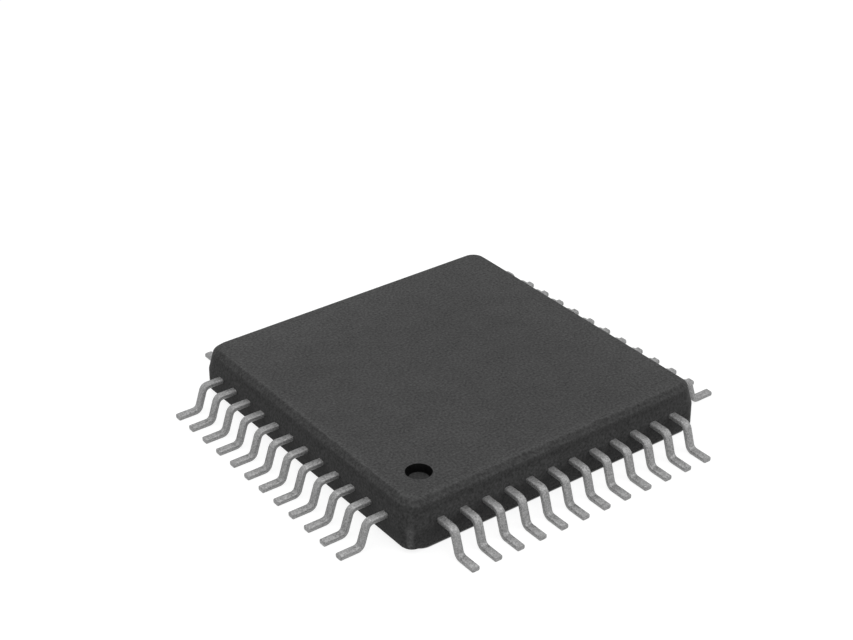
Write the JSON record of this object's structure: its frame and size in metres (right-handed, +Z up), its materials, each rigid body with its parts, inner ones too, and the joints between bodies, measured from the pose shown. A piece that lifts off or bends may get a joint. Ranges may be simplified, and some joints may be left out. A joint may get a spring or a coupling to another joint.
{
  "type": "processor chip",
  "caption": "Thin square chip package with a dark moulded body, gull-wing leads on all four sides and a dimple that marks the first lead.",
  "frame": {"origin": "centre of the seating plane that the lead feet stand on", "axes": "+Z up, out of the top face; the dimple of the first lead is at the corner towards -X and -Y, and the leads are numbered counter-clockwise from it seen from above"},
  "size_m": [0.0088, 0.0088, 0.001],
  "materials": {
    "mould_compound": "matte",
    "lead_tin_plate": "matte",
    "frame_alloy": "satin",
    "attach_adhesive": "matte",
    "silicon": "gloss",
    "bond_gold": "polished"
  },
  "bodies": {
    "root": {"package_body": "mould_compound", "lead_01": "lead_tin_plate", "lead_02": "lead_tin_plate", "lead_03": "lead_tin_plate", "lead_04": "lead_tin_plate", "lead_05": "lead_tin_plate", "lead_06": "lead_tin_plate", "lead_07": "lead_tin_plate", "lead_08": "lead_tin_plate", "lead_09": "lead_tin_plate", "lead_10": "lead_tin_plate", "lead_11": "lead_tin_plate", "lead_12": "lead_tin_plate", "lead_13": "lead_tin_plate", "lead_14": "lead_tin_plate", "lead_15": "lead_tin_plate", "lead_16": "lead_tin_plate", "lead_17": "lead_tin_plate", "lead_18": "lead_tin_plate", "lead_19": "lead_tin_plate", "lead_20": "lead_tin_plate", "lead_21": "lead_tin_plate", "lead_22": "lead_tin_plate", "lead_23": "lead_tin_plate", "lead_24": "lead_tin_plate", "lead_25": "lead_tin_plate", "lead_26": "lead_tin_plate", "lead_27": "lead_tin_plate", "lead_28": "lead_tin_plate", "lead_29": "lead_tin_plate", "lead_30": "lead_tin_plate", "lead_31": "lead_tin_plate", "lead_32": "lead_tin_plate", "lead_33": "lead_tin_plate", "lead_34": "lead_tin_plate", "lead_35": "lead_tin_plate", "lead_36": "lead_tin_plate", "lead_37": "lead_tin_plate", "lead_38": "lead_tin_plate", "lead_39": "lead_tin_plate", "lead_40": "lead_tin_plate", "lead_41": "lead_tin_plate", "lead_42": "lead_tin_plate", "lead_43": "lead_tin_plate", "lead_44": "lead_tin_plate", "lead_45": "lead_tin_plate", "lead_46": "lead_tin_plate", "lead_47": "lead_tin_plate", "lead_48": "lead_tin_plate", "die_paddle": "frame_alloy", "die_attach": "attach_adhesive", "silicon_die": "silicon", "bond_wires_front": "bond_gold", "bond_wires_right": "bond_gold", "bond_wires_back": "bond_gold", "bond_wires_left": "bond_gold"}
  },
  "joints": []
}
